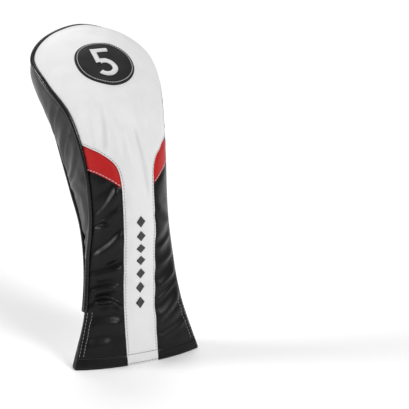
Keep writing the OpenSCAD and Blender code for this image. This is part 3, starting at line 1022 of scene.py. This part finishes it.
def panel_rows(surface, top, pitch):
    return hemmed_rows(levels_between(surface, HEM_ROLL / HEM_RISE + 0.01, top, pitch))


def across_toe(start, pitch):
    """Places along the gusset from a level on the left, over the toe, to it on the right."""
    side = LAST - levels_between(gusset, start, LAST, pitch)
    return np.concatenate([-side[:-1], side[::-1]])


def crown_leather():
    def where(c, s):
        return front_mm((2 * c - 1) * crown_half(s), s + 0 * c)

    def shape(flat):
        stitched = groove(distance_to(flat, crown_run_lines + hem_lines(front)))
        return CROWN_LIFT + stitched + front_dive(flat)

    rows = panel_rows(front, TOE_LEVEL, 1.1)
    leather("crown_leather", "crown_panel", front, rows, 110, where, white_leather, shape)


def accent_leather(side, name):
    def where(c, r):
        share = mix(0.03, 1, c)
        low_x, low_s = accent_edge(share)
        high_x, high_s = crown_edge(share)
        high_s = high_s + 0.02 * share
        return front_mm(side * mix(low_x, high_x - LAP * (1 - share), r), mix(low_s, high_s, r))

    def shape(flat):
        under = tucked(distance_to(flat, crown_edge_lines), 1.0)
        return under + groove(distance_to(flat, accent_run_lines)) + front_dive(flat)

    leather(f"accent_leather_{name}", f"accent_panel_{name}", front, plain_rows(crowd(34)), 50, where,
            red_leather, shape, (True, True))


def lower_leather(side, name):
    def where(c, s):
        top = accent_edge(c)[1] + 0.02
        level = s + (top - ACCENT_POINT) * (s / ACCENT_POINT) ** 2
        return front_mm(side * mix(STRIPE_HALF - LAP, half_front(level), c), level)

    def shape(flat):
        under = (tucked(distance_to(flat, crown_edge_lines), 1.0)
                 + tucked(distance_to(flat, accent_edge_lines)))
        sewn = groove(distance_to(flat, vent_lines(front, FRONT_SEAM)))
        hem = groove(distance_to(flat, hem_lines(front)), 0.55, 1.1)
        return np.maximum(under, -1.25) + sewn + hem + front_dive(flat)

    rows = panel_rows(front, ACCENT_POINT, 1.0)
    leather(f"lower_leather_{name}", f"front_lower_panel_{name}", front, rows, 64, where, black_leather,
            shape)


def back_leather():
    def where(c, s):
        return (2 * c - 1) * PANEL_EDGE, s + 0 * c

    def shape(flat):
        sewn = groove(distance_to(flat, hem_lines(back) + vent_lines(back, BACK_SEAM)))
        return sewn + dive(distance_to(flat, back_seam_lines))

    rows = panel_rows(back, TOE_LEVEL, 1.1)
    leather("back_leather", "back_panel", back, rows, 110, where, white_leather, shape)


def gusset_leather():
    def where(c, w):
        return c + 0 * w, w + 0 * c

    def shape(flat):
        return dive(distance_to(flat, [front_piping_path[0]] + back_seam_lines), 2.5, 5.5)

    leather("gusset_leather", "gusset_panel", gusset, plain_rows(across_toe(VENT_LEVEL, 1.3)), 40, where,
            glossy_leather, shape, (True, True))


# ---- piping and gores ----


def frames_along(path, out):
    ahead = unit(np.gradient(path, axis=0))
    side = unit(np.cross(ahead, out))
    return side, np.cross(side, ahead)


def piping(name, node, path, out):
    """Leather round a cord, drawn in a little at every stitch of the seam."""
    side, up = frames_along(path, out)
    arc = arc_of(path)
    pucker = 1 + 0.025 * np.sin(2 * math.pi * arc / 3.3) + 0.015 * np.sin(arc / 7.3)
    ends = np.minimum(arc, arc[-1] - arc)
    radius = PIPING_RADIUS * pucker * np.sqrt(np.clip(ends / 0.8, 0.04, 1))
    points, faces = tube_mesh(path[None], side[None], up[None], radius[None], sides=14)
    make_piece(name, node, points, faces, piping_leather)


def gore(side, name):
    """Ribbed knit between the vent's two edges, sewn in behind both of them."""
    levels = np.linspace(0.02, VENT_LEVEL + 0.04, 70)[:, None]
    flange = np.array([0.955, 0.985])[None, :]
    behind = -HEM_ROLL * 2 - 0.3
    v = crowd(96, 0.0)[None, 2:-2]
    width = np.linalg.norm(seam(BACK_SEAM, levels) - seam(FRONT_SEAM, levels), axis=-1)
    ribs = np.abs(np.sin(math.pi * (v - 0.5) * width[0] / 1.7))

    def grid(lift, rib):
        w = side * (LAST - levels)
        middle = gusset_place(v, w) + normal(gusset_place, -1, v, w + 0 * v) * (lift + rib * ribs)[..., None]
        middle[..., 2] = np.maximum(middle[..., 2], 0.3)
        front_edge = front.at(side * flange, levels, behind + lift)
        back_edge = back.at(side * flange[:, ::-1], levels, behind + lift)
        return np.concatenate([front_edge, middle, back_edge], axis=1)

    piece = make_piece(f"gore_knit_{name}", f"gore_{name}", *sheet_mesh(grid(-0.6, 0.5), grid(-1.6, 0.0)),
                       rib_knit)
    size, area = flat_size(grid(-1.0, 0.0))


# ---- thread ----


def stitch_run(name, node, runs, look, pitch=3.1, length=2.5, radius=THREAD_RADIUS):
    """Rows of single stitches. Each run is a pair of lines: on the leather, and 1 mm above it."""
    centres, sides, ups, radii = [], [], [], []
    t = np.linspace(0, 1, 7)
    for line, above in runs:
        out = unit(above - line)
        arc = arc_of(line)
        count = int(arc[-1] / pitch)
        starts = (np.arange(count) + 0.5) * arc[-1] / count - length / 2
        spots = starts[:, None] + t * length
        centre = read_path(line, arc, spots)
        up = unit(read_path(out, arc, spots))
        ahead = unit(np.gradient(centre, axis=1))
        side = unit(np.cross(ahead, up))
        arch = np.sin(math.pi * t) ** 0.6
        centres.append(centre + up * (radius * (1.1 * arch - 0.7))[None, :, None])
        sides.append(side)
        ups.append(np.cross(side, ahead))
        radii.append(np.tile(radius * np.maximum(0.25, np.sin(math.pi * t) ** 0.4), (count, 1)))
    points, faces = tube_mesh(*(np.concatenate(part) for part in (centres, sides, ups, radii)))
    make_piece(name, node, points, faces, look)


def lifted(surface, a, b, lift):
    return surface.at(a, b, lift), surface.at(a, b, lift + 1)


def front_run(run, side, lift):
    return lifted(front, *front_mm(side * run[0], run[1]), lift)


def hem_run(surface, level, lift):
    return lifted(surface, HEM_SHARES, level + 0 * HEM_SHARES, lift)


def vent_run(surface, stations, side, inset):
    return lifted(surface, side * vent_share(stations, inset, VENT_LEVELS), VENT_LEVELS, 0.0)


def all_stitches():
    for side, name in ((-1, "left"), (1, "right")):
        stitch_run(f"crown_stitches_{name}", f"crown_topstitch_{name}", [front_run(CROWN_RUN, side, 0.05)],
                   grey_thread, radius=0.24)
        stitch_run(f"accent_stitches_{name}", f"accent_topstitch_{name}", [front_run(ACCENT_RUN, side, 0.0)],
                   light_thread, radius=0.34)
        vents = [vent_run(surface, stations, side, inset)
                 for surface, stations in ((front, FRONT_SEAM), (back, BACK_SEAM)) for inset in VENT_INSETS]
        stitch_run(f"vent_stitches_{name}", f"vent_stitch_{name}", vents, grey_thread)
    for surface, name, thread in ((front, "front", dark_thread), (back, "back", grey_thread)):
        stitch_run(f"hem_stitches_{name}", f"hem_stitch_{name}",
                   [hem_run(surface, level, 0.0) for level in HEM_LEVELS], thread)


# ---- the patch and the embroidery ----

patch_half = (top_of("number_patch", 0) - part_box("number_patch")[0][0] / MM) / 2
patch_climb = front_place(0.0, PATCH_LEVEL + STEP) - front_place(0.0, PATCH_LEVEL - STEP)
patch_rise = np.linalg.norm(patch_climb) / (2 * STEP)
PATCH_STITCH_INSET = 2.4
SATIN_RADIUS = 0.27

# The figure on the patch, in millimetres from the middle of the patch
FIGURE_STROKE = 5.0
BOWL_MIDDLE = (-1.9, -7.6)
BOWL_RADIUS = 8.3
BOWL_SWEEP = (118, -145)
STEM = [[-6.9, 13.6], [-6.9, -0.9]]
FLAG = [[-9.3, 14.0], [7.1, 14.0]]
DIAMOND_HALF_WIDTH = 4.5
DIAMOND_HALF_SHARE = 0.36


def on_patch(x, y, lift):
    return front.at(*front_mm(x, PATCH_LEVEL + y * PATCH_TALL / patch_rise), lift)


def number_patch():
    """A leather disc with a rounded edge, sewn down round its rim."""
    rings = np.concatenate([np.linspace(0.02, 0.86, 26), 1 - np.linspace(0.12, 0, 14) ** 1.3 / 0.12 ** 0.3])
    angle = np.linspace(0, 2 * math.pi, 140, endpoint=False)[None, :]
    r = patch_half * rings[:, None]
    inner_edge = patch_half - r
    sewn = groove(np.abs(inner_edge - PATCH_STITCH_INSET), 0.3, 0.8)
    lift = CROWN_LIFT + PATCH_LIFT + sewn - rounding(inner_edge, 1.1)
    face = on_patch(r * np.cos(angle), r * np.sin(angle), lift)
    rear = on_patch(r * np.cos(angle), r * np.sin(angle), CROWN_LIFT)
    loops = np.concatenate([face, rear[::-1]])
    rows, cols = loops.shape[:2]
    faces = grid_quads(rows, cols, round_rows=True)
    faces.append(list(range(cols)))
    faces.append([(rows - 1) * cols + k for k in range(cols)])
    make_piece("number_patch_leather", "number_patch", loops, faces, patch_leather)


def patch_stitches():
    angle = np.linspace(0, 2 * math.pi, 200)
    r = patch_half - PATCH_STITCH_INSET
    top = CROWN_LIFT + PATCH_LIFT
    lines = [on_patch(r * np.cos(angle), r * np.sin(angle), top + up) for up in (-0.1, 0.9)]
    stitch_run("patch_stitches", "patch_border_stitch", [lines], light_thread, pitch=2.4, length=2.05,
               radius=0.36)


def satin(ends_a, ends_b, place, lift, puff):
    """Threads laid side by side from one edge of a stroke to the other, arched over it."""
    t = np.linspace(0, 1, 7)[None, :]
    x = mix(ends_a[:, 0:1], ends_b[:, 0:1], t)
    y = mix(ends_a[:, 1:2], ends_b[:, 1:2], t)
    arch = puff * np.sqrt(np.clip(1 - (2 * t - 1) ** 2, 0, 1)) + 0 * x
    centre = place(x, y, lift + arch)
    above = place(x, y, lift + arch + 1)
    ahead = unit(np.gradient(centre, axis=1))
    side = unit(np.cross(ahead, above - centre))
    return centre, side, np.cross(side, ahead), np.full(x.shape, SATIN_RADIUS)


def stroke(path, width, place, lift, pitch=0.42):
    """Satin stitch along a path of [x, y], with its threads square across."""
    path3 = np.column_stack([path, 0 * path[:, 0]])
    spots = resampled(path3, pitch)[:, :2]
    ahead = unit(np.gradient(spots, axis=0))
    half = np.column_stack([-ahead[:, 1], ahead[:, 0]]) * width / 2
    return satin(spots + half, spots - half, place, lift, 0.55)


def joined(parts):
    return tube_mesh(*(np.concatenate(part) for part in zip(*parts)))


def number_embroidery():
    """A plain figure 5: flag, stem and bowl."""
    arc = np.radians(np.linspace(*BOWL_SWEEP, 60))
    bowl = BOWL_MIDDLE + BOWL_RADIUS * np.column_stack([np.cos(arc), np.sin(arc)])
    lift = CROWN_LIFT + PATCH_LIFT + 0.1
    strokes = [stroke(path, FIGURE_STROKE, on_patch, lift) for path in (np.array(STEM), bowl, np.array(FLAG))]
    make_piece("number_embroidery_thread", "number_embroidery", *joined(strokes), white_embroidery)


def stripe_embroidery():
    """A row of plain diamonds, each filled with satin stitch."""
    pitch = (EMBROIDERY_END - EMBROIDERY_START) / DIAMONDS
    half_tall = pitch * DIAMOND_HALF_SHARE
    parts = []
    for i in range(DIAMONDS):
        middle = EMBROIDERY_START + pitch * (i + 0.5)
        y = np.linspace(-1, 1, 26)[1:-1] * half_tall
        reach = DIAMOND_HALF_WIDTH * (1 - np.abs(y) / half_tall)
        ends = [np.column_stack([side * reach, middle + y]) for side in (-1, 1)]
        parts.append(satin(*ends, on_front, CROWN_LIFT + 0.1, 0.45))
    make_piece("stripe_embroidery_thread", "stripe_embroidery", *joined(parts), black_embroidery)


# ---- inside ----


def inner_layer(name, node, surface, rows, shares, lifts, look, pile=0.0):
    """A soft layer inside the leather. Its inner face is uneven by the depth of its pile."""
    a, b = np.meshgrid(shares, rows, indexing="xy")
    drawn = np.random.default_rng(7).normal(0, pile, a.shape)
    face = surface.at(a, b, lifts[0])
    rear = surface.at(a, b, lifts[1] + np.abs(drawn))
    return make_piece(name, node, *sheet_mesh(face, rear), look), flat_size(face)


def fleece_layer(name, node, surface, rows, shares):
    piece, (size, area) = inner_layer(name, node, surface, rows, shares, LINING, fleece, 0.35)


def foam_layer(name, node, surface, rows, shares):
    piece, _ = inner_layer(name, node, surface, rows, shares, PADDING, foam, 0.05)


def inside():
    for surface, name in ((front, "front"), (back, "back")):
        levels = levels_between(surface, TAPE_LEVEL, TOE_LEVEL, 2.5)
        foam_layer(f"{name}_padding_foam", f"{name}_padding", surface, levels, (2 * crowd(44) - 1) * 0.985)
        fleece_layer(f"{name}_lining_fleece", f"{name}_lining", surface, levels,
                     (2 * crowd(44) - 1) * 0.975)
    foam_layer("gusset_padding_foam", "gusset_padding", gusset, across_toe(2.2, 2.5),
               mix(0.05, 0.95, crowd(16)))
    fleece_layer("gusset_lining_fleece", "gusset_lining", gusset, across_toe(3.2, 2.5),
                 mix(0.08, 0.92, crowd(14)))
    band, (size, area) = inner_layer("neck_elastic_band", "neck_elastic", back, np.linspace(2.9, 3.5, 30),
                                     np.linspace(-0.9, 0.9, 60), ELASTIC, elastic)
    label, (size, area) = inner_layer("care_label_satin", "care_label", back, np.linspace(0.45, 1.1, 20),
                                      np.linspace(-0.62, -0.2, 20), LABEL, label_satin)


def hem_tape():
    """A woven ring round the mouth, inside the turned hem."""
    shares = np.linspace(-0.96, 0.96, 120)

    def ring(lift):
        path = np.concatenate([front_place(shares, 0.0), back_place(-shares, 0.0)])
        out = np.concatenate([front.outward(shares, 0 * shares), back.outward(-shares, 0 * shares)])
        return path + out * lift

    outer = ring(TAPE_OUT)
    inner = ring(TAPE_OUT - TAPE_WIDTH)
    loops = []
    for path, height in ((outer, 0.0), (outer, TAPE_HEIGHT), (inner, TAPE_HEIGHT), (inner, 0.0)):
        loop = path.copy()
        loop[:, 2] = height
        loops.append(loop)
    grid = np.stack(loops)
    rows, cols = grid.shape[:2]
    faces = grid_quads(rows, cols, round_rows=True)
    faces += [[(rows - 1) * cols + k, (rows - 1) * cols + (k + 1) % cols, (k + 1) % cols, k]
              for k in range(cols)]
    make_piece("hem_tape_ring", "hem_tape", grid, faces, tape)


# ---- the whole cover ----

crown_leather()
for side, name in ((-1, "left"), (1, "right")):
    accent_leather(side, name)
    lower_leather(side, name)
    gore(side, name)
gusset_leather()
back_leather()
piping("front_piping_bead", "front_piping", *front_piping_path)
piping("back_piping_bead", "back_piping", *back_piping_path)
number_patch()
patch_stitches()
number_embroidery()
stripe_embroidery()
all_stitches()
inside()
hem_tape()

# ---- studio ----

AZIMUTH = -25.9
ELEVATION = 22
VIEW_DISTANCE = 1.5312
TARGET_DISTANCE = 1.5
VIEW_WIDTH = 0.3823
SENSOR = 36
FLOOR_HALF = 12
WORLD_STRENGTH = 0.30
# The cover stands left of the middle of the picture and low in it
AIM_RIGHT = 0.0667
AIM_UP = 0.1401
ROLL = math.radians(0.7)
mouth_middle = Vector((0, -0.008, 0))


def toward(azimuth, elevation):
    """The direction from the cover to a camera or a lamp, from angles in degrees."""
    a, e = math.radians(azimuth), math.radians(elevation)
    return Vector((math.sin(a) * math.cos(e), -math.cos(a) * math.cos(e), math.sin(e)))


toward_camera = toward(AZIMUTH, ELEVATION)
right = Vector((math.cos(math.radians(AZIMUTH)), math.sin(math.radians(AZIMUTH)), 0))
upward = toward_camera.cross(right)


def camera():
    data = bpy.data.cameras.new("camera")
    eye = mouth_middle + toward_camera * VIEW_DISTANCE
    target = (mouth_middle + toward_camera * (VIEW_DISTANCE - TARGET_DISTANCE)
              + right * AIM_RIGHT + upward * AIM_UP)
    data.sensor_width = SENSOR
    data.lens = SENSOR * (target - eye).length / VIEW_WIDTH
    made = placed("camera", data)
    made.location = eye
    made.rotation_mode = "QUATERNION"
    made.rotation_quaternion = (target - eye).to_track_quat("-Z", "Y") @ Quaternion((0, 0, 1), ROLL)
    bpy.context.scene.camera = made


def softbox(name, azimuth, elevation, strength, spread):
    """A softbox so far away that it lights the whole floor evenly."""
    data = bpy.data.lights.new(name, "SUN")
    data.energy = strength
    data.angle = math.radians(spread)
    lamp = placed(name, data)
    lamp.rotation_mode = "QUATERNION"
    lamp.rotation_quaternion = toward(azimuth, elevation).to_track_quat("Z", "Y")


def studio():
    floor_look = Look("floor_paper", "", (0.96, 0.96, 0.96), 0.9)
    floor_look.shade(floor_look.pattern("ShaderNodeTexNoise", Scale=4), 0.995)
    mesh = bpy.data.meshes.new("floor")
    corners = [(x * FLOOR_HALF, y * FLOOR_HALF, 0) for x, y in ((-1, -1), (1, -1), (1, 1), (-1, 1))]
    mesh.from_pydata(corners, [], [(0, 1, 2, 3)])
    mesh.materials.append(floor_look.material)
    floor = placed("floor", mesh)
    world = bpy.data.worlds.new("studio")
    world.use_nodes = True
    background = world.node_tree.nodes["Background"]
    background.inputs["Color"].default_value = (1, 1, 1, 1)
    background.inputs["Strength"].default_value = WORLD_STRENGTH
    bpy.context.scene.world = world
    softbox("key", 18, 38, 1.45, 20)
    softbox("left_rim", -116, 26, 1.7, 22)
    softbox("right_fill", 40, 66, 0.4, 40)
    softbox("back_fill", 160, 52, 0.9, 34)
    bpy.context.scene.view_settings.view_transform = "Standard"


studio()
camera()
